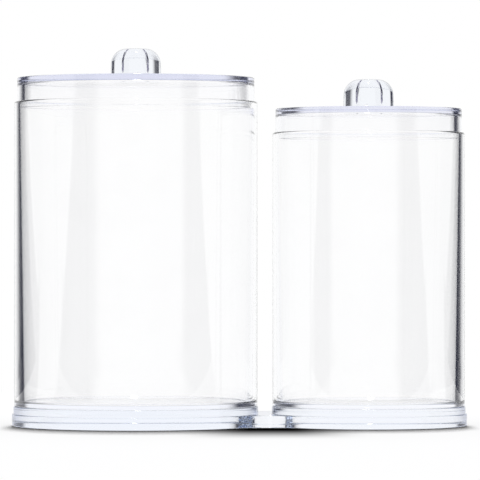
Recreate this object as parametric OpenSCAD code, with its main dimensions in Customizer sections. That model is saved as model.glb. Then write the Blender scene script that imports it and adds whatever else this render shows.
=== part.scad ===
// Double cotton holder: two clear lidded jars of different size, side by side
// on one waisted base. Every piece is a clear moulding with thick walls.
// The large jar stands on the -X side and the small one on the +X side.
// The origin is at the middle of the underside, with +Z up.

/* [Large jar] */
// Outer diameter of the large jar
large_jar_d = 96.4; // [80:0.2:110]
// Height of the large jar from its seat to its rim
large_jar_h = 120.5; // [60:0.5:150]

/* [Small jar] */
// Outer diameter of the small jar
small_jar_d = 76.2; // [60:0.2:90]
// Height of the small jar from its seat to its rim
small_jar_h = 108.3; // [60:0.5:150]

/* [Jar moulding] */
// Wall thickness at the mouth of each jar
mouth_wall = 2.5; // [2:0.1:3.5]
// Draft of the inner wall, in degrees, which makes the wall thicker downwards
wall_draft = 0.8; // [0.2:0.1:1.2]
// Thickness of each jar's floor
floor_t = 2.3; // [1.5:0.1:4]
// Radius of the curve between a jar's floor and its inner wall
floor_fillet = 3; // [1:0.5:6]
// Rounding of the rim's outer edge
rim_round = 1; // [0.3:0.1:1.1]
// Rounding of the rim's inner edge
mouth_round = 0.3; // [0.1:0.1:0.5]
// Rounding of the edge under each jar
foot_round = 0.4; // [0.2:0.1:1]

/* [Base] */
// Gap between the two jars' walls
jar_gap = 5.9; // [4:0.1:12]
// Thickness of the base plate
plate_h = 4.8; // [3:0.1:8]
// How far each lobe of the plate stands out past its jar
lobe_margin = 0.9; // [0.5:0.1:2.5]
// Height of the round seat under each jar
seat_h = 2.9; // [1.5:0.1:5]
// How far each seat stands out past its jar
seat_margin = 0.3; // [0.1:0.1:0.4]
// Radius of the hollow on each side of the waist
waist_r = 20; // [14:0.5:30]
// Rounding of each seat's upper edge
seat_round = 0.4; // [0.2:0.1:1]

/* [Lids] */
// How far each lid stands in from its jar's outer wall
lid_inset = 1.2; // [0.8:0.1:1.4]
// Height of each lid above its jar's rim
lid_h = 9.4; // [6:0.1:16]
// Thickness of each lid's top disc
disc_t = 2.3; // [1.5:0.1:4]
// Thickness of each lid's skirt
skirt_wall = 2.9; // [2.2:0.1:4]
// How deep each lid's spigot enters the jar's mouth
spigot_drop = 2.8; // [1.5:0.1:6]
// Clearance between the spigot and the mouth, all round
spigot_clearance = 0.25; // [0.15:0.05:0.5]
// Rounding of the spigot's lower edge
spigot_round = 0.4; // [0.1:0.1:0.5]
// Rounding of each lid's upper edge
lid_round = 0.5; // [0.2:0.1:1.5]
// Radius of the curve between the disc and the skirt, inside
lid_fillet = 1; // [0.3:0.1:2]

/* [Knobs] */
// Diameter of each knob at its foot
knob_d = 20; // [16:0.5:28]
// Height of each knob
knob_h = 11.6; // [9:0.1:16]
// Draft of the knob's side, in degrees
knob_draft = 1.2; // [0:0.1:3]
// Radius of the knob's shoulder
knob_shoulder_r = 6.2; // [3:0.1:7]
// Number of flutes around each knob
flute_count = 6; // [4:1:8]
// Width of each flute
flute_w = 1.4; // [0.8:0.1:2.2]
// Height above the knob's foot at which each flute fades out
flute_foot_z = 1.7; // [0.8:0.1:3]
// How far the flute's bottom lies from the knob's axis at the knob's top
flute_top_r = 5.7; // [4.5:0.1:7]

/* [Hidden] */
$fn = 96;
clear_plastic = [0.92, 0.94, 0.99, 0.45];
thick_plastic = [0.80, 0.84, 0.98, 0.6];

// How far a cutter reaches past the surface that it opens
cut_over = 1;

large_jar_r = large_jar_d / 2;
small_jar_r = small_jar_d / 2;
large_lobe_r = large_jar_r + lobe_margin;
small_lobe_r = small_jar_r + lobe_margin;
jar_spacing = large_jar_r + jar_gap + small_jar_r;
base_length = large_lobe_r + jar_spacing + small_lobe_r;
large_x = large_lobe_r - base_length / 2;
small_x = base_length / 2 - small_lobe_r;
seat_z = plate_h + seat_h;
large_rim_z = seat_z + large_jar_h;
small_rim_z = seat_z + small_jar_h;

// Centre of the round hollow on the +Y side of the waist. It touches both lobes.
large_reach = large_lobe_r + waist_r;
small_reach = small_lobe_r + waist_r;
waist_x = large_x + (large_reach ^ 2 - small_reach ^ 2 + jar_spacing ^ 2) / (2 * jar_spacing);
waist_y = sqrt(large_reach ^ 2 - (waist_x - large_x) ^ 2);

// What a rounded outer corner leaves over, to be cut from a profile.
// The corner is at [x, y], with the material towards -X, and towards -Y if up is 1.
module corner_waste(x, y, radius, up) {
    mirror([0, up < 0 ? 1 : 0])
        translate([x - radius, up * y - radius])
            difference() {
                square(radius + cut_over);
                circle(radius);
            }
}

// The same for an inner corner, with the material towards +X and -Y
module inner_corner_waste(x, y, radius) {
    translate([2 * x, 0])
        mirror([1, 0])
            corner_waste(x, y, radius, 1);
}

// Profile of a round slab with rounded edges, from the axis outwards
module slab_profile(radius, height, top_round, bottom_round) {
    difference() {
        square([radius, height]);
        corner_waste(radius, height, top_round, 1);
        if (bottom_round > 0)
            corner_waste(radius, 0, bottom_round, -1);
    }
}

// Outline of the waisted plate: two lobes joined by a kite. The kite's side
// corners are the centres of the waist hollows, which run smoothly into both lobes.
module plate_outline() {
    difference() {
        union() {
            translate([large_x, 0])
                circle(large_lobe_r);
            translate([small_x, 0])
                circle(small_lobe_r);
            polygon([[large_x, 0], [waist_x, -waist_y], [small_x, 0], [waist_x, waist_y]]);
        }
        for (side = [-1, 1])
            translate([waist_x, side * waist_y])
                circle(waist_r);
    }
}

// Round seat that carries one jar
module seat(jar_r) {
    translate([0, 0, plate_h])
        rotate_extrude()
            slab_profile(jar_r + seat_margin, seat_h, seat_round, 0);
}

module base() {
    color(thick_plastic) {
        linear_extrude(plate_h)
            plate_outline();
        translate([large_x, 0])
            seat(large_jar_r);
        translate([small_x, 0])
            seat(small_jar_r);
    }
}

// Hollow of a jar: a drafted bore with a curved corner at the floor
module jar_hollow_profile(jar_r, jar_h) {
    mouth_r = jar_r - mouth_wall;
    fillet_z = floor_t + floor_fillet;
    wall_r = mouth_r - (jar_h - fillet_z) * tan(wall_draft);
    fillet_x = wall_r - floor_fillet / cos(wall_draft);
    touch_x = fillet_x + floor_fillet * cos(wall_draft);
    touch_z = fillet_z - floor_fillet * sin(wall_draft);
    polygon([
        [0, floor_t],
        [fillet_x, floor_t],
        [fillet_x, fillet_z],
        [touch_x, touch_z],
        [mouth_r, jar_h],
        [mouth_r, jar_h + cut_over],
        [0, jar_h + cut_over]
    ]);
    translate([fillet_x, fillet_z])
        circle(floor_fillet);
}

// One jar: a deep cup with a thick drafted wall and a rounded rim
module jar(jar_r, jar_h) {
    color(clear_plastic)
        rotate_extrude()
            difference() {
                slab_profile(jar_r, jar_h, rim_round, foot_round);
                jar_hollow_profile(jar_r, jar_h);
                inner_corner_waste(jar_r - mouth_wall, jar_h, mouth_round);
            }
}

// One lid: a disc with a skirt. The skirt's outer part stands on the jar's rim
// and its inner part, the spigot, goes down into the mouth.
module lid(jar_r) {
    lid_r = jar_r - lid_inset;
    bore_r = lid_r - skirt_wall;
    spigot_r = jar_r - mouth_wall - spigot_clearance;
    color(clear_plastic)
        rotate_extrude()
            difference() {
                union() {
                    slab_profile(lid_r, lid_h, lid_round, 0);
                    translate([0, -spigot_drop])
                        slab_profile(spigot_r, spigot_drop + disc_t, 0, spigot_round);
                }
                lid_hollow_profile(bore_r);
            }
}

// Hollow of a lid, closed by the disc, with a curved corner under the disc
module lid_hollow_profile(bore_r) {
    ceiling_z = lid_h - disc_t;
    difference() {
        translate([0, -spigot_drop - cut_over])
            square([bore_r, ceiling_z + spigot_drop + cut_over]);
        translate([bore_r - lid_fillet, ceiling_z - lid_fillet])
            difference() {
                square(lid_fillet + cut_over);
                circle(lid_fillet);
            }
    }
}

// Section of one flute: a slot with a round bottom, open away from the knob
module flute_section() {
    circle(d = flute_w);
    translate([0, -flute_w / 2])
        square([knob_d, flute_w]);
}

// One knob: a domed button with flutes. Each flute's bottom follows a straight
// line that slants inwards, so it is deepest half way up and fades out near the foot.
module knob() {
    foot_r = knob_d / 2;
    shoulder_z = knob_h - knob_shoulder_r;
    side_r = foot_r - shoulder_z * tan(knob_draft);
    shoulder_x = side_r - knob_shoulder_r / cos(knob_draft);
    touch_x = shoulder_x + knob_shoulder_r * cos(knob_draft);
    touch_z = shoulder_z + knob_shoulder_r * sin(knob_draft);
    flute_foot_r = foot_r - flute_foot_z * tan(knob_draft);
    flute_lean = atan2(flute_foot_r - flute_top_r, knob_h - flute_foot_z);
    color(clear_plastic)
        difference() {
            rotate_extrude() {
                polygon([
                    [0, 0],
                    [foot_r, 0],
                    [touch_x, touch_z],
                    [shoulder_x, shoulder_z],
                    [shoulder_x, knob_h],
                    [0, knob_h]
                ]);
                intersection() {
                    translate([shoulder_x, shoulder_z])
                        circle(knob_shoulder_r);
                    square([foot_r, knob_h + cut_over]);
                }
            }
            for (i = [0 : flute_count - 1])
                rotate([0, 0, 360 / flute_count * (i + 0.5) - 90])
                    translate([flute_foot_r, 0, flute_foot_z])
                        rotate([0, -flute_lean, 0])
                            translate([flute_w / 2, 0, -knob_h])
                                linear_extrude(3 * knob_h)
                                    flute_section();
        }
}

module large_jar() {
    translate([large_x, 0, seat_z])
        jar(large_jar_r, large_jar_h);
}

module small_jar() {
    translate([small_x, 0, seat_z])
        jar(small_jar_r, small_jar_h);
}

module large_lid() {
    translate([large_x, 0, large_rim_z])
        lid(large_jar_r);
}

module small_lid() {
    translate([small_x, 0, small_rim_z])
        lid(small_jar_r);
}

module large_knob() {
    translate([large_x, 0, large_rim_z + lid_h])
        knob();
}

module small_knob() {
    translate([small_x, 0, small_rim_z + lid_h])
        knob();
}

base();
large_jar();
small_jar();
large_lid();
small_lid();
large_knob();
small_knob();
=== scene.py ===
# %% [markdown]
# # A double cotton holder in clear plastic
# Two lidded jars stand side by side on one waisted base. Every piece is a thick clear
# moulding, so almost all that the eye sees is edges: light that bends at a round
# wall, a rim, a seam or a fluted knob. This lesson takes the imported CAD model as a
# fixed frame and builds each moulding again as a fine, smooth surface, because a
# lens made of coarse facets would break up the light behind it.

# %% Load the fixed frame
import math

import bmesh
import bpy
from mathutils import Matrix, Vector


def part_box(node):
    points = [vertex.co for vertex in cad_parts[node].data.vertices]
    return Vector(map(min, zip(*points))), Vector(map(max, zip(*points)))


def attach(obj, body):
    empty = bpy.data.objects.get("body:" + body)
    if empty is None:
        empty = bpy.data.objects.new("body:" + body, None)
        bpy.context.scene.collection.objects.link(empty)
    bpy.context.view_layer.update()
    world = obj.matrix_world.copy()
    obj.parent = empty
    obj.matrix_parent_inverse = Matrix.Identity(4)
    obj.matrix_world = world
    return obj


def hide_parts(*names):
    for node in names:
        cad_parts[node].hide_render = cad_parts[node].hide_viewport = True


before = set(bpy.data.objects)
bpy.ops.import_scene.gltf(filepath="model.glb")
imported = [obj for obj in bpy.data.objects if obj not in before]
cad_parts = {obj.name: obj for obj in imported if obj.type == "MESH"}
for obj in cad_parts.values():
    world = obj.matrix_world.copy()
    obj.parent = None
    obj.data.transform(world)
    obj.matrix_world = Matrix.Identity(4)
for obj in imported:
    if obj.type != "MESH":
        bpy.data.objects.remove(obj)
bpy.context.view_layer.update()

MM = 0.001
scene = bpy.context.scene

# %% [markdown]
# ## The camera
# The photograph looks level at the holder from straight in front, from far away with
# a long lens: the rims look almost flat. The camera's height is that of the picture's
# middle, so no shift is needed, and its distance sets how much the rims open.

# %% Place the camera
CAMERA_DISTANCE = 1.68
CAMERA_HEIGHT = 73.4 * MM
CAMERA_ASIDE = 0.2 * MM
CAMERA_LENS = 318

camera_data = bpy.data.cameras.new("studio_camera")
camera_data.sensor_width = 36
camera_data.lens = CAMERA_LENS
camera_data.clip_start = 0.05
camera_data.clip_end = 60
camera = bpy.data.objects.new("studio_camera", camera_data)
camera.location = (CAMERA_ASIDE, -CAMERA_DISTANCE, CAMERA_HEIGHT)
camera.rotation_euler = (math.radians(90), 0, 0)
scene.collection.objects.link(camera)
scene.camera = camera
scene.view_settings.view_transform = "Standard"
scene.cycles.max_bounces = 40
scene.cycles.transmission_bounces = 40
scene.cycles.glossy_bounces = 24
scene.cycles.caustics_refractive = False
scene.cycles.caustics_reflective = False
print("camera at", tuple(round(v, 4) for v in camera.location))

# %% [markdown]
# ## The white room
# Clear plastic shows what is behind it. The world is plain white, and Light Path gives
# the camera, the mirror rays and the rays through the plastic a strength of exactly
# one. Only a quarter of it falls on matt things, because a lamp does the rest.

# %% Small helpers for shader nodes
def maths(tree, operation, *values):
    """A Math node on numbers or sockets."""
    node = tree.nodes.new("ShaderNodeMath")
    node.operation = operation
    for socket, value in zip(node.inputs, values):
        if isinstance(value, (int, float)):
            socket.default_value = value
        else:
            tree.links.new(value, socket)
    return node.outputs[0]


def ramped(tree, value, start, stop, low=0.0, high=1.0, smooth=True):
    """Carries a value from start...stop over to low...high."""
    node = tree.nodes.new("ShaderNodeMapRange")
    if smooth:
        node.interpolation_type = "SMOOTHSTEP"
    node.inputs["From Min"].default_value = start
    node.inputs["From Max"].default_value = stop
    node.inputs["To Min"].default_value = low
    node.inputs["To Max"].default_value = high
    tree.links.new(value, node.inputs["Value"])
    return node.outputs["Result"]


def empty_material(name):
    material = bpy.data.materials.new(name)
    material.use_nodes = True
    material.node_tree.nodes.clear()
    out = material.node_tree.nodes.new("ShaderNodeOutputMaterial")
    return material, material.node_tree, out.inputs["Surface"]


def own_place(tree):
    """The Object coordinates, and their X, Y and Z."""
    place = tree.nodes.new("ShaderNodeTexCoord").outputs["Object"]
    parts = tree.nodes.new("ShaderNodeSeparateXYZ")
    tree.links.new(place, parts.inputs[0])
    return place, parts.outputs


# %% Make the world
MATT_SHARE = 0.25

world = bpy.data.worlds.new("white_room")
scene.world = world
world.use_nodes = True
tree = world.node_tree
background = tree.nodes["Background"]
light_path = tree.nodes.new("ShaderNodeLightPath").outputs
from_eye = maths(tree, "LESS_THAN", light_path["Diffuse Depth"], 0.5)
level = ramped(tree, from_eye, 0, 1, MATT_SHARE, 1.0, smooth=False)
tree.links.new(level, background.inputs["Strength"])
background.inputs["Color"].default_value = (1, 1, 1, 1)
print("world light:", MATT_SHARE, "to", 1.0)

# %% [markdown]
# ## The soft lamp
# A strip lamp hangs high above and a little behind. It is long from front to back and
# hardly wider than the holder, so the shadow under the base is soft towards the eye
# and ends close to the holder on the left and the right.

# %% Hang a long soft lamp
LAMP_PLACE = (0, 0.62, 4.6)
LAMP_TILT = -6.0
LAMP_WIDTH = 0.22
LAMP_LENGTH = 1.24
LAMP_WATTS = 180

lamp_data = bpy.data.lights.new("soft_strip", "AREA")
lamp_data.shape = "RECTANGLE"
lamp_data.size = LAMP_WIDTH
lamp_data.size_y = LAMP_LENGTH
lamp_data.energy = LAMP_WATTS
lamp = bpy.data.objects.new("soft_strip", lamp_data)
lamp.location = LAMP_PLACE
lamp.rotation_euler = (math.radians(LAMP_TILT), 0, 0)
scene.collection.objects.link(lamp)

# %% [markdown]
# ## Windows with soft edges
# A dark card with a hard edge would draw a hard line inside each wall. So each card
# shows through a window that opens and closes gradually. The window's ends are given
# in millimetres, or in thousandths where the value is a slope.

# %% Soft-edged windows across a card
FROM_THE_START = (-2, -1)
CARD_TONE = (0.03, 0.032, 0.05)


def soft_window(tree, value, rise, fall):
    """A value that is 0 before the rise, 1 between the rise and the fall, and 0 past the fall."""
    opened = ramped(tree, value, rise[0] * MM, rise[1] * MM)
    still_open = ramped(tree, value, fall[1] * MM, fall[0] * MM)
    return maths(tree, "MULTIPLY", opened, still_open)


# %% [markdown]
# ## The floor
# The floor is a pale matt sheet a hair below the base, and it keeps the shadow of the
# holder. Farther out, and in all that is seen through or mirrored by the plastic, its
# own light brings it to white. Light that has crossed just one piece sees a dark
# table out to the left and the right, which keeps the walls dark down to their feet.

# %% Make the floor
FLOOR_SIZE = 20
FLOOR_DROP = 0.15 * MM
GLOW_START = 0.16
GLOW_FULL = 0.42


def sheet_of_paper(name, size, height):
    bm = bmesh.new()
    bmesh.ops.create_grid(bm, x_segments=1, y_segments=1, size=size)
    bmesh.ops.translate(bm, vec=(0, 0, height), verts=bm.verts)
    mesh = bpy.data.meshes.new(name)
    bm.to_mesh(mesh)
    bm.free()
    sheet = bpy.data.objects.new(name, mesh)
    scene.collection.objects.link(sheet)
    return sheet


floor = sheet_of_paper("paper_floor", FLOOR_SIZE, -FLOOR_DROP)
paper, tree, surface = empty_material("matt_paper")
matt = tree.nodes.new("ShaderNodeBsdfDiffuse")
matt.inputs["Color"].default_value = (0.95, 0.95, 0.955, 1)
bare = tree.nodes.new("ShaderNodeEmission")
place, parts = own_place(tree)
light_path = tree.nodes.new("ShaderNodeLightPath").outputs
away = tree.nodes.new("ShaderNodeVectorMath")
away.operation = "LENGTH"
tree.links.new(place, away.inputs[0])
far_out = ramped(tree, away.outputs["Value"], GLOW_START, GLOW_FULL)
in_plastic = maths(tree, "MAXIMUM", light_path["Is Transmission Ray"], light_path["Is Glossy Ray"])
sheet_mix = tree.nodes.new("ShaderNodeMixShader")
tree.links.new(maths(tree, "MAXIMUM", in_plastic, far_out), sheet_mix.inputs["Fac"])
tree.links.new(matt.outputs[0], sheet_mix.inputs[1])
tree.links.new(bare.outputs[0], sheet_mix.inputs[2])
tree.links.new(sheet_mix.outputs[0], surface)
floor.data.materials.append(paper)
print("floor", -FLOOR_DROP, "white past", GLOW_FULL)

# %% Lay the dark table on both sides
TABLE_START = 88 * MM

far_x = maths(tree, "ABSOLUTE", parts["X"])
far_y = maths(tree, "ABSOLUTE", parts["Y"])
slant = maths(tree, "DIVIDE", maths(tree, "SUBTRACT", far_x, TABLE_START), far_y)
table_x = soft_window(tree, slant, (350, 660), (3000, 4000))
table_y = soft_window(tree, far_y, FROM_THE_START, (300, 460))
one_piece = maths(tree, "COMPARE", light_path["Transmission Depth"], 2.0, 0.5)
dark_table = maths(tree, "MULTIPLY", maths(tree, "MULTIPLY", table_x, table_y), one_piece)
table_tone = tree.nodes.new("ShaderNodeMix")
table_tone.data_type = "RGBA"
table_tone.inputs["A"].default_value = (1, 1, 1, 1)
table_tone.inputs["B"].default_value = (*CARD_TONE, 1)
tree.links.new(dark_table, table_tone.inputs["Factor"])
tree.links.new(table_tone.outputs["Result"], bare.inputs["Color"])
print("dark table from x", TABLE_START)

# %% [markdown]
# ## The dark posts
# White plastic on white paper would vanish. Photographers of clear ware stand dark
# cards just outside the view: light that grazes a round wall bends far sideways,
# meets a card and draws the wall as a dark line. Four posts stand at the corners
# of the table. They are dark to light that has crossed just one piece and to the
# outer gloss, faint to light that has crossed more, and absent to all other light.
# Their dark part is widest at the foot, because the walls are thickest there.

# %% Hang a card
def hang_card(name, size, middle, material, unseen_by, upright=False):
    """A flat card that some kinds of light don't meet."""
    bm = bmesh.new()
    bmesh.ops.create_grid(bm, x_segments=1, y_segments=1, size=0.5)
    bmesh.ops.scale(bm, vec=(*size, 1), verts=bm.verts)
    if upright:
        bmesh.ops.rotate(bm, matrix=Matrix.Rotation(math.radians(90), 3, "X"), verts=bm.verts)
    bmesh.ops.translate(bm, vec=middle, verts=bm.verts)
    mesh = bpy.data.meshes.new(name)
    bm.to_mesh(mesh)
    bm.free()
    mesh.materials.append(material)
    card = bpy.data.objects.new(name, mesh)
    for kind in unseen_by:
        setattr(card, f"visible_{kind}", False)
    scene.collection.objects.link(card)
    return card


# %% Choose who sees the posts
POST_SPREAD = 120 * MM
FAINT = 0.09

post_card, tree, surface = empty_material("dark_card")
dark = tree.nodes.new("ShaderNodeEmission")
dark.inputs["Color"].default_value = (*CARD_TONE, 1)
clear = tree.nodes.new("ShaderNodeBsdfTransparent")
cover = tree.nodes.new("ShaderNodeMixShader")
tree.links.new(clear.outputs[0], cover.inputs[1])
tree.links.new(dark.outputs[0], cover.inputs[2])
tree.links.new(cover.outputs[0], surface)
path = tree.nodes.new("ShaderNodeLightPath").outputs
place, parts = own_place(tree)

side_of = maths(tree, "ABSOLUTE", parts["X"])
squeeze = ramped(tree, parts["Z"], 0, POST_SPREAD, 0.5, 1.08, smooth=False)
inner_end = soft_window(tree, side_of, (178, 258), (1050, 1060))
outer_end = soft_window(tree, maths(tree, "MULTIPLY", side_of, squeeze), FROM_THE_START, (440, 520))
first_piece = maths(tree, "MULTIPLY", inner_end, outer_end)
far_walls = maths(tree, "MULTIPLY", soft_window(tree, side_of, (60, 200), (440, 520)), FAINT)

crossed = maths(tree, "GREATER_THAN", path["Transmission Depth"], 1.5)
crossed_more = maths(tree, "GREATER_THAN", path["Transmission Depth"], 2.5)
outside = maths(tree, "LESS_THAN", path["Transmission Depth"], 0.5)
mirrored = maths(tree, "GREATER_THAN", path["Glossy Depth"], 0.5)
seen = maths(tree, "MAXIMUM", crossed, maths(tree, "MULTIPLY", outside, mirrored))
darkness = tree.nodes.new("ShaderNodeMix")
tree.links.new(crossed_more, darkness.inputs["Factor"])
tree.links.new(first_piece, darkness.inputs["A"])
tree.links.new(far_walls, darkness.inputs["B"])
tree.links.new(maths(tree, "MULTIPLY", darkness.outputs["Result"], seen), cover.inputs["Fac"])
print("post card:", len(tree.nodes), "nodes")

# %% Make the posts
POST_NEAR = 60 * MM
POST_FAR = 1060 * MM
POST_DEPTH = 257 * MM
POST_HEIGHT = 400 * MM

for side, side_name in ((-1, "left"), (1, "right")):
    for end, end_name in ((-1, "front"), (1, "back")):
        middle = (side * (POST_FAR + POST_NEAR) / 2, end * POST_DEPTH, POST_HEIGHT / 2)
        hang_card(f"post_{side_name}_{end_name}", (POST_FAR - POST_NEAR, POST_HEIGHT), middle,
                  post_card, ("camera", "diffuse", "shadow"), upright=True)
print("posts from", POST_NEAR, "to", POST_FAR)

# %% [markdown]
# ## The flag
# The shadow is deepest under the waist. A graded flag lies just over the floor there,
# in front and behind, and keeps some of the lamp's light from the paper. Nothing
# else meets it: the eye, the gloss and the clear plastic look through it.

# %% Hang a flag over the waist
FLAG_LIFT = 2.5 * MM
FLAG_SIZE = (84 * MM, 110 * MM)
FLAG_MIDDLE = (12.07 * MM, 67 * MM)

flag_cloth, tree, surface = empty_material("graded_flag")
veil = tree.nodes.new("ShaderNodeBsdfTransparent")
place, parts = own_place(tree)
from_middle = maths(tree, "ABSOLUTE", maths(tree, "SUBTRACT", parts["X"], FLAG_MIDDLE[0]))
reach = maths(tree, "ABSOLUTE", parts["Y"])
wide = soft_window(tree, from_middle, FROM_THE_START, (8, 40))
deep = soft_window(tree, reach, (10, 11), (36, 118))
let_through = maths(tree, "SUBTRACT", 1.0, maths(tree, "MULTIPLY", wide, deep))
tree.links.new(let_through, veil.inputs["Color"])
tree.links.new(veil.outputs[0], surface)

for name, end in (("flag_front", -1), ("flag_back", 1)):
    hang_card(name, FLAG_SIZE, (FLAG_MIDDLE[0], end * FLAG_MIDDLE[1], FLAG_LIFT), flag_cloth,
              ("camera", "glossy", "transmission"))
print("flags over the waist at", FLAG_LIFT)


# %% [markdown]
# ## Clear plastic
# Polished plastic is almost perfectly smooth and clear, and never quite even. Two
# node groups hold what all the mouldings share: faint handling haze in the gloss
# and the long, very low waves that a mould leaves, which make highlights swim.

# %% Build the haze and wave groups
def new_group(name, inputs, outputs):
    group = bpy.data.node_groups.new(name, "ShaderNodeTree")
    for label, kind, value in inputs:
        socket = group.interface.new_socket(label, in_out="INPUT", socket_type=kind)
        if value is not None:
            socket.default_value = value
    for label, kind in outputs:
        group.interface.new_socket(label, in_out="OUTPUT", socket_type=kind)
    start = group.nodes.new("NodeGroupInput")
    end = group.nodes.new("NodeGroupOutput")
    return group, start, end


haze_group, haze_in, haze_out = new_group(
    "handling_haze",
    [("Scale", "NodeSocketFloat", 60.0), ("Clean Gloss", "NodeSocketFloat", 0.0),
     ("Hazy Gloss", "NodeSocketFloat", 0.04), ("Clean Tint", "NodeSocketColor", (1, 1, 1, 1)),
     ("Hazy Tint", "NodeSocketColor", (0.97, 0.97, 0.98, 1))],
    [("Roughness", "NodeSocketFloat"), ("Tint", "NodeSocketColor")],
)
place = haze_group.nodes.new("ShaderNodeTexCoord")
cloud = haze_group.nodes.new("ShaderNodeTexNoise")
cloud.inputs["Detail"].default_value = 5.0
cloud.inputs["Roughness"].default_value = 0.62
spread = haze_group.nodes.new("ShaderNodeMapRange")
spread.inputs["From Min"].default_value = 0.48
spread.inputs["From Max"].default_value = 0.78
gloss = haze_group.nodes.new("ShaderNodeMapRange")
tint = haze_group.nodes.new("ShaderNodeMix")
tint.data_type = "RGBA"
link = haze_group.links.new
link(place.outputs["Object"], cloud.inputs["Vector"])
link(haze_in.outputs["Scale"], cloud.inputs["Scale"])
link(cloud.outputs["Fac"], spread.inputs["Value"])
link(spread.outputs["Result"], gloss.inputs["Value"])
link(haze_in.outputs["Clean Gloss"], gloss.inputs["To Min"])
link(haze_in.outputs["Hazy Gloss"], gloss.inputs["To Max"])
link(spread.outputs["Result"], tint.inputs["Factor"])
link(haze_in.outputs["Clean Tint"], tint.inputs["A"])
link(haze_in.outputs["Hazy Tint"], tint.inputs["B"])
link(gloss.outputs["Result"], haze_out.inputs["Roughness"])
link(tint.outputs["Result"], haze_out.inputs["Tint"])

wave_group, wave_in, wave_out = new_group(
    "mould_waves",
    [("Scale", "NodeSocketFloat", 14.0), ("Flow", "NodeSocketFloat", 90.0)],
    [("Height", "NodeSocketFloat")],
)
place = wave_group.nodes.new("ShaderNodeTexCoord")
long_wave = wave_group.nodes.new("ShaderNodeTexNoise")
long_wave.inputs["Detail"].default_value = 1.0
fine_wave = wave_group.nodes.new("ShaderNodeTexNoise")
fine_wave.inputs["Detail"].default_value = 2.0
soften = wave_group.nodes.new("ShaderNodeMath")
soften.operation = "MULTIPLY_ADD"
soften.inputs[1].default_value = 0.12
link = wave_group.links.new
link(place.outputs["Object"], long_wave.inputs["Vector"])
link(place.outputs["Object"], fine_wave.inputs["Vector"])
link(wave_in.outputs["Scale"], long_wave.inputs["Scale"])
link(wave_in.outputs["Flow"], fine_wave.inputs["Scale"])
link(fine_wave.outputs["Fac"], soften.inputs[0])
link(long_wave.outputs["Fac"], soften.inputs[2])
link(soften.outputs[0], wave_out.inputs["Height"])
print("groups:", [g.name for g in bpy.data.node_groups])


# %% [markdown]
# ## Four plastics from one recipe
# A clear plastic is a smooth Principled surface that lets all light through, with a
# little absorption inside: the longer the way through the plastic, the bluer the
# light. The lids are the greyest. On the knobs and the base, shade is painted into
# the colour where the surface turns away, and on the knobs in the flutes: dark
# edges that stand in for dark surroundings bent through the plastic.

# %% Mix a clear plastic
PLASTIC_IOR = 1.49
HAZE = 0.02
WAVE_SCALE = 14.0


def clear_plastic(name, tint, absorb, density, wave_height=0.01 * MM):
    material = bpy.data.materials.new(name)
    material.use_nodes = True
    tree = material.node_tree
    shader = tree.nodes["Principled BSDF"]
    out = tree.nodes["Material Output"]
    shader.inputs["IOR"].default_value = PLASTIC_IOR
    shader.inputs["Transmission Weight"].default_value = 1.0
    shader.inputs["Metallic"].default_value = 0.0
    haze_node = tree.nodes.new("ShaderNodeGroup")
    haze_node.node_tree = haze_group
    haze_node.inputs["Clean Tint"].default_value = (*tint, 1)
    haze_node.inputs["Hazy Tint"].default_value = (*[0.985 * t for t in tint], 1)
    haze_node.inputs["Hazy Gloss"].default_value = HAZE
    wave_node = tree.nodes.new("ShaderNodeGroup")
    wave_node.node_tree = wave_group
    wave_node.inputs["Scale"].default_value = WAVE_SCALE
    bump = tree.nodes.new("ShaderNodeBump")
    bump.inputs["Strength"].default_value = 1.0
    bump.inputs["Distance"].default_value = wave_height
    depth = tree.nodes.new("ShaderNodeVolumeAbsorption")
    depth.inputs["Color"].default_value = (*absorb, 1)
    depth.inputs["Density"].default_value = density
    tree.links.new(haze_node.outputs["Tint"], shader.inputs["Base Color"])
    tree.links.new(haze_node.outputs["Roughness"], shader.inputs["Roughness"])
    tree.links.new(wave_node.outputs["Height"], bump.inputs["Height"])
    tree.links.new(bump.outputs["Normal"], shader.inputs["Normal"])
    tree.links.new(depth.outputs["Volume"], out.inputs["Volume"])
    return material


# %% Paint shade on edges and flutes
def paint_shade_on_edges(material, painted_edge_shade, start, painted_flute_shade=None):
    """Paints shade into the colour where the surface turns away, and in the flutes."""
    tree = material.node_tree
    shader = tree.nodes["Principled BSDF"]
    tint_out = shader.inputs["Base Color"].links[0].from_socket
    # painted shade: the colour darkens towards grazing edges, mixed in by Layer Weight facing
    facing = tree.nodes.new("ShaderNodeLayerWeight")
    facing.inputs["Blend"].default_value = 0.5
    edge_shade_mix = tree.nodes.new("ShaderNodeMix")
    edge_shade_mix.data_type = "RGBA"
    edge_shade_mix.inputs["B"].default_value = (*painted_edge_shade, 1)
    tree.links.new(ramped(tree, facing.outputs["Facing"], start, 1.0), edge_shade_mix.inputs["Factor"])
    tree.links.new(tint_out, edge_shade_mix.inputs["A"])
    last = edge_shade_mix.outputs["Result"]
    # painted shade in the flutes, mixed into the colour by the flute mask
    if painted_flute_shade:
        flute = tree.nodes.new("ShaderNodeAttribute")
        flute.attribute_name = "flute"
        flute_shade_mix = tree.nodes.new("ShaderNodeMix")
        flute_shade_mix.data_type = "RGBA"
        flute_shade_mix.inputs["B"].default_value = (*painted_flute_shade, 1)
        tree.links.new(flute.outputs["Fac"], flute_shade_mix.inputs["Factor"])
        tree.links.new(last, flute_shade_mix.inputs["A"])
        last = flute_shade_mix.outputs["Result"]
    tree.links.new(last, shader.inputs["Base Color"])


# %% Make the four plastics
WHITE = (1.0, 1.0, 1.0)

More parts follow.
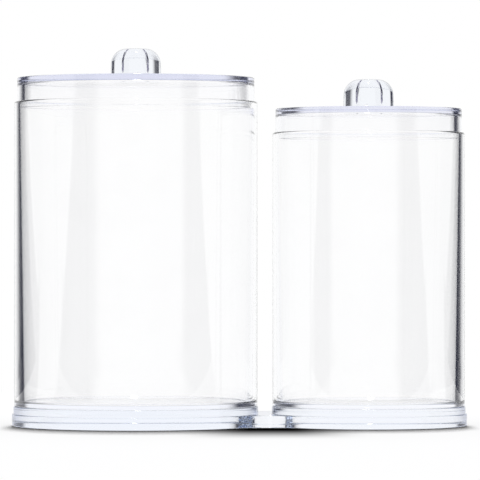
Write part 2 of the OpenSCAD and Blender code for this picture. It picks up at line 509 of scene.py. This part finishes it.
jar_plastic = clear_plastic("jar_plastic", WHITE, (0.80, 0.85, 1.0), 5)
lid_plastic = clear_plastic("lid_plastic", WHITE, (0.66, 0.69, 0.88), 10)
knob_plastic = clear_plastic("knob_plastic", (0.93, 0.95, 0.97), (0.80, 0.83, 1.0), 6)
base_plastic = clear_plastic("base_plastic", WHITE, (0.66, 0.76, 0.95), 4, wave_height=0.002 * MM)
# Painted shade: the knobs' edges go near black and the base's edges dark blue where they turn away,
# in place of dark surroundings bent through the plastic.
paint_shade_on_edges(knob_plastic, (0.06, 0.06, 0.08), 0.62, painted_flute_shade=(0.10, 0.09, 0.16))
paint_shade_on_edges(base_plastic, (0.16, 0.21, 0.40), 0.42)
print("plastics:", [m.name for m in bpy.data.materials if m.name.endswith("_plastic")])


# %% [markdown]
# ## Turning a moulding
# A jar, a lid and a knob are all round, so each starts as half of its outline, drawn
# beside the axis, and the spin operator turns it once round. Rounded edges are
# short arcs, which one small helper adds to the outline by spinning a single
# point. Weighted normals then keep the flat walls flat and let only the
# roundings bend the light.

# %% Helpers for outlines and turned pieces
AROUND = 256
ARC_STEP = 11
SEAM = 0.002 * MM
CREASE = math.radians(30)


def drawn_outline(moves):
    """Draws an open outline in XZ: ("to", x, z) or ("arc", centre x, centre z, degrees)."""
    bm = bmesh.new()
    end = None
    for move in moves:
        if move[0] == "to":
            point = Vector((move[1], 0, move[2]))
            if end is None:
                end = bm.verts.new(point)
            else:
                made = bmesh.ops.extrude_vert_indiv(bm, verts=[end])
                bmesh.ops.translate(bm, vec=point - end.co, verts=made["verts"])
                end = made["verts"][0]
        else:
            centre = Vector((move[1], 0, move[2]))
            steps = max(4, math.ceil(abs(move[3]) / ARC_STEP))
            made = bmesh.ops.spin(bm, geom=[end], cent=centre, axis=(0, 1, 0),
                                  angle=-math.radians(move[3]), steps=steps, use_duplicate=False)
            end = [v for v in made["geom_last"] if isinstance(v, bmesh.types.BMVert)][0]
    return bm


def turn(bm, steps=AROUND):
    """Spins an outline once round the Z axis and closes it into one solid."""
    bmesh.ops.spin(bm, geom=bm.verts[:] + bm.edges[:], cent=(0, 0, 0), axis=(0, 0, 1),
                   angle=math.tau, steps=steps, use_merge=True, use_duplicate=False)
    bmesh.ops.remove_doubles(bm, verts=bm.verts, dist=SEAM)
    bmesh.ops.recalc_face_normals(bm, faces=bm.faces)
    return bm


def finished_piece(bm, name, place, material, nodes):
    """Puts a solid in its place and lets it stand for its CAD nodes."""
    bmesh.ops.translate(bm, vec=place, verts=bm.verts)
    open_edges = sum(1 for e in bm.edges if not e.is_manifold)
    for face in bm.faces:
        face.smooth = True
    for edge in bm.edges:
        edge.smooth = not edge.is_manifold or edge.calc_face_angle() < CREASE
    volume = bm.calc_volume(signed=True)
    mesh = bpy.data.meshes.new(name)
    bm.to_mesh(mesh)
    bm.free()
    mesh.materials.append(material)
    piece = bpy.data.objects.new(name, mesh)
    scene.collection.objects.link(piece)
    keep_flat = piece.modifiers.new("keep_walls_flat", "WEIGHTED_NORMAL")
    keep_flat.mode = "FACE_AREA"
    keep_flat.weight = 50
    keep_flat.keep_sharp = True
    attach(piece, "root")
    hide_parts(*nodes)
    print(f"{name}: {len(mesh.polygons)} faces, {open_edges} open edges, {volume * 1e9:.0f} mm3")
    return piece


# %% [markdown]
# ## The jars
# A jar is a deep cup. Its outer wall is straight, its inner wall leans so that the
# moulding slips off its core, the floor meets the wall in a small curve, and the rim is
# rounded. The outline starts on the axis under the floor, climbs the outside, and
# comes back down the inside. A hair of air stays under each jar and lid,
# because two polished faces that touch would otherwise share one surface.

# %% Sizes read from the frame
AIR = 0.03 * MM
MOUTH_WALL = 2.25 * MM
WALL_DRAFT = math.radians(0.8)
FLOOR = 1.6 * MM
FLOOR_FILLET = 0.8 * MM
RIM_ROUND = 1 * MM
MOUTH_ROUND = 0.3 * MM
FOOT_ROUND = 0.4 * MM


def round_node(node):
    """Axis x, radius, bottom and top of a round CAD node."""
    low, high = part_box(node)
    return (low.x + high.x) / 2, (high.x - low.x) / 2, low.z, high.z


for node in ("large_jar", "small_jar", "large_lid", "small_lid", "large_knob", "small_knob"):
    print(node, [round(v * 1000, 2) for v in round_node(node)])


# %% Turn the jars
def jar(node):
    axis_x, radius, bottom, top = round_node(node)
    height = top - bottom - AIR
    mouth = radius - MOUTH_WALL
    fillet_z = FLOOR + FLOOR_FILLET
    wall_foot = mouth - (height - fillet_z) * math.tan(WALL_DRAFT)
    fillet_x = wall_foot - FLOOR_FILLET / math.cos(WALL_DRAFT)
    turn_up = 90 - math.degrees(WALL_DRAFT)
    bm = drawn_outline([
        ("to", 0, 0),
        ("to", radius - FOOT_ROUND, 0),
        ("arc", radius - FOOT_ROUND, FOOT_ROUND, 90),
        ("to", radius, height - RIM_ROUND),
        ("arc", radius - RIM_ROUND, height - RIM_ROUND, 90),
        ("to", mouth + MOUTH_ROUND, height),
        ("arc", mouth + MOUTH_ROUND, height - MOUTH_ROUND, turn_up),
        ("to", fillet_x + FLOOR_FILLET * math.cos(WALL_DRAFT),
         fillet_z - FLOOR_FILLET * math.sin(WALL_DRAFT)),
        ("arc", fillet_x, fillet_z, -turn_up),
        ("to", 0, FLOOR),
    ])
    return finished_piece(turn(bm), f"{node}_moulding", (axis_x, 0, bottom + AIR), jar_plastic,
                          [node])


large_jar = jar("large_jar")
small_jar = jar("small_jar")

# %% [markdown]
# ## The lids
# A lid is a disc with a skirt under it. The skirt's outer part stands on the rim, and
# its inner part, the spigot, reaches down into the mouth with a small clearance
# and keeps the lid from sliding off.

# %% Turn the lids
LID_INSET = 1.2 * MM
LID_ABOVE_RIM = 9.4 * MM
DISC = 2.3 * MM
SKIRT_WALL = 2.9 * MM
SPIGOT_INSET = 2.75 * MM
SPIGOT_ROUND = 0.4 * MM
LID_ROUND = 0.5 * MM
LID_FILLET = 1 * MM


def lid(node):
    axis_x, radius, bottom, top = round_node(node)
    rim = top - LID_ABOVE_RIM
    drop = rim - bottom
    spigot = radius + LID_INSET - SPIGOT_INSET
    bore = radius - SKIRT_WALL
    height = top - rim - AIR
    ceiling = height - DISC
    bm = drawn_outline([
        ("to", 0, ceiling),
        ("to", bore - LID_FILLET, ceiling),
        ("arc", bore - LID_FILLET, ceiling - LID_FILLET, -90),
        ("to", bore, -drop),
        ("to", spigot - SPIGOT_ROUND, -drop),
        ("arc", spigot - SPIGOT_ROUND, -drop + SPIGOT_ROUND, 90),
        ("to", spigot, 0),
        ("to", radius, 0),
        ("to", radius, height - LID_ROUND),
        ("arc", radius - LID_ROUND, height - LID_ROUND, 90),
        ("to", 0, height),
    ])
    return finished_piece(turn(bm), f"{node}_moulding", (axis_x, 0, rim + AIR), lid_plastic,
                          [node])


large_lid = lid("large_lid")
small_lid = lid("small_lid")

# %% [markdown]
# ## The knobs
# Each knob is a solid button with a domed shoulder and six flutes for the fingers. The
# button is turned first. Then its points slide round to crowd at the flutes, and
# those in a flute move in to its bottom, which leans towards the axis as it rises.

# %% Turn and flute the knobs
KNOB_DRAFT = math.radians(1.2)
KNOB_SHOULDER = 6.2 * MM
KNOB_STEPS = 384
FLUTES = 6
FLUTE_HALF = 0.4 * MM
FLUTE_SHADE_RAMP = 0.12 * MM
FLUTE_FOOT = 1.7 * MM
FLUTE_TOP_R = 5.7 * MM


def crowded(angle):
    """Moves an angle towards the nearest flute, so that the flutes get more points."""
    part = math.tau / FLUTES
    middle = round(angle / part) * part
    share = (angle - middle) / (part / 2)
    return middle + (0.2 * share + 0.8 * share ** 3) * part / 2


def knob(node):
    axis_x, foot, bottom, top = round_node(node)
    height = top - bottom - AIR
    shoulder_z = height - KNOB_SHOULDER
    side = foot - shoulder_z * math.tan(KNOB_DRAFT)
    shoulder_x = side - KNOB_SHOULDER / math.cos(KNOB_DRAFT)
    sweep = 90 - math.degrees(KNOB_DRAFT)
    bm = drawn_outline([
        ("to", 0, 0),
        ("to", foot, 0),
        *[("to", foot + (side - foot) * k / 8, shoulder_z * k / 8) for k in range(1, 8)],
        ("to", shoulder_x + KNOB_SHOULDER * math.cos(KNOB_DRAFT),
         shoulder_z + KNOB_SHOULDER * math.sin(KNOB_DRAFT)),
        *[("arc", shoulder_x, shoulder_z, sweep / 6) for k in range(6)],
        ("to", 0, height),
    ])
    turn(bm, steps=KNOB_STEPS)
    # the flute layer is a mask for painted shade in the flutes: 0 at the surface, 1 from a small
    # depth in
    depth = bm.verts.layers.float.new("flute")
    start_r = foot - FLUTE_FOOT * math.tan(KNOB_DRAFT)
    lean = (start_r - FLUTE_TOP_R) / (height - FLUTE_FOOT)
    for v in bm.verts:
        radius = math.hypot(v.co.x, v.co.y)
        if radius < 1 * MM:
            continue
        angle = crowded(math.atan2(v.co.y, v.co.x) % math.tau)
        across = radius * math.sin(angle - round(angle / (math.tau / FLUTES)) * math.tau / FLUTES)
        bottom_r = start_r - (v.co.z - FLUTE_FOOT) * lean
        if abs(across) < FLUTE_HALF and v.co.z > 0.01 * MM:
            cut = bottom_r + FLUTE_HALF - math.sqrt(FLUTE_HALF ** 2 - across ** 2)
            v[depth] = min(1, max(0, radius - cut) / FLUTE_SHADE_RAMP)
            radius = min(radius, max(cut, FLUTE_TOP_R * 0.5))
        v.co.x, v.co.y = radius * math.cos(angle), radius * math.sin(angle)
    bmesh.ops.recalc_face_normals(bm, faces=bm.faces)
    return finished_piece(bm, f"{node}_button", (axis_x, 0, bottom + AIR), knob_plastic,
                          [node])


large_knob = knob("large_knob")
small_knob = knob("small_knob")

# %% [markdown]
# ## The base
# The base is one moulding: a waisted plate with a round seat for each jar. Its outline is
# four arcs that run smoothly into each other, drawn by spinning one point round
# each arc's centre in turn. The outline is filled and pulled up to the plate's
# height, its edges are bevelled, and the seats are turned and joined into its top.
# The lobes stand a hair inside the CAD plate, so that no rounding leaves its box.

# %% Outline of the base
LOBE_MARGIN = 0.87 * MM
SEAT_MARGIN = 0.3 * MM
SEAT_ROUND = 0.4 * MM
WAIST_R = 20 * MM
PLATE = 4.8 * MM
PLATE_EDGE = 0.4 * MM

large_x, large_r, seat_top, _ = round_node("large_jar")
small_x, small_r, _, _ = round_node("small_jar")
large_lobe = large_r + LOBE_MARGIN
small_lobe = small_r + LOBE_MARGIN
reach_large = large_lobe + WAIST_R
reach_small = small_lobe + WAIST_R
apart = small_x - large_x
waist_x = large_x + (reach_large ** 2 - reach_small ** 2 + apart ** 2) / (2 * apart)
waist_y = math.sqrt(reach_large ** 2 - (waist_x - large_x) ** 2)
print("waist hollow centre in mm:", round(waist_x * 1000, 2), round(waist_y * 1000, 2))


# %% Build the base
def base():
    bm = bmesh.new()
    lean_large = math.atan2(waist_y, waist_x - large_x)
    lean_small = math.atan2(waist_y, small_x - waist_x)
    touch_x = large_x + large_lobe * math.cos(lean_large)
    end = bm.verts.new(Vector((touch_x, large_lobe * math.sin(lean_large), 0)))
    hollow = -(math.pi - lean_large - lean_small)
    arcs = [
        ((large_x, 0, 0), math.tau - 2 * lean_large, 360),
        ((waist_x, -waist_y, 0), hollow, 72),
        ((small_x, 0, 0), math.tau - 2 * lean_small, 300),
        ((waist_x, waist_y, 0), hollow, 72),
    ]
    for centre, angle, steps in arcs:
        made = bmesh.ops.spin(bm, geom=[end], cent=centre, axis=(0, 0, 1), angle=angle,
                              steps=steps, use_duplicate=False)
        end = [v for v in made["geom_last"] if isinstance(v, bmesh.types.BMVert)][0]
    bmesh.ops.remove_doubles(bm, verts=bm.verts, dist=0.01 * MM)
    bmesh.ops.contextual_create(bm, geom=bm.edges[:])
    raised = bmesh.ops.extrude_face_region(bm, geom=bm.faces[:])
    raised_verts = [v for v in raised["geom"] if isinstance(v, bmesh.types.BMVert)]
    bmesh.ops.translate(bm, vec=(0, 0, PLATE), verts=raised_verts)
    bmesh.ops.recalc_face_normals(bm, faces=bm.faces)
    rims = [e for e in bm.edges if abs(e.verts[0].co.z - e.verts[1].co.z) < 1e-6]
    bmesh.ops.bevel(bm, geom=rims, offset=PLATE_EDGE, offset_type="OFFSET", affect="EDGES",
                    segments=4, profile=0.5, material=-1, clamp_overlap=True)
    top = [f for f in bm.faces if f.normal.z > 0.999 and len(f.verts) > 50]
    edges = list(top[0].edges)
    bmesh.ops.delete(bm, geom=top, context="FACES_ONLY")
    for axis_x, jar_r in ((large_x, large_r), (small_x, small_r)):
        seat_r = jar_r + SEAT_MARGIN
        seat = drawn_outline([
            ("to", seat_r, PLATE),
            ("to", seat_r, seat_top - SEAT_ROUND),
            ("arc", seat_r - SEAT_ROUND, seat_top - SEAT_ROUND, 90),
            ("to", 0, seat_top),
        ])
        bmesh.ops.spin(seat, geom=seat.verts[:] + seat.edges[:], cent=(0, 0, 0), axis=(0, 0, 1),
                       angle=math.tau, steps=AROUND, use_merge=True, use_duplicate=False)
        bmesh.ops.remove_doubles(seat, verts=seat.verts, dist=SEAM)
        bmesh.ops.translate(seat, vec=(axis_x, 0, 0), verts=seat.verts)
        holder = bpy.data.meshes.new("seat")
        seat.to_mesh(holder)
        seat.free()
        before = set(bm.edges)
        bm.from_mesh(holder)
        bpy.data.meshes.remove(holder)
        edges += [e for e in bm.edges if e not in before and e.is_boundary]
    bmesh.ops.triangle_fill(bm, edges=edges, use_beauty=True, use_dissolve=False)
    bmesh.ops.recalc_face_normals(bm, faces=bm.faces)
    return finished_piece(bm, "base_moulding", (0, 0, 0), base_plastic, ["base"])


base_piece = base()
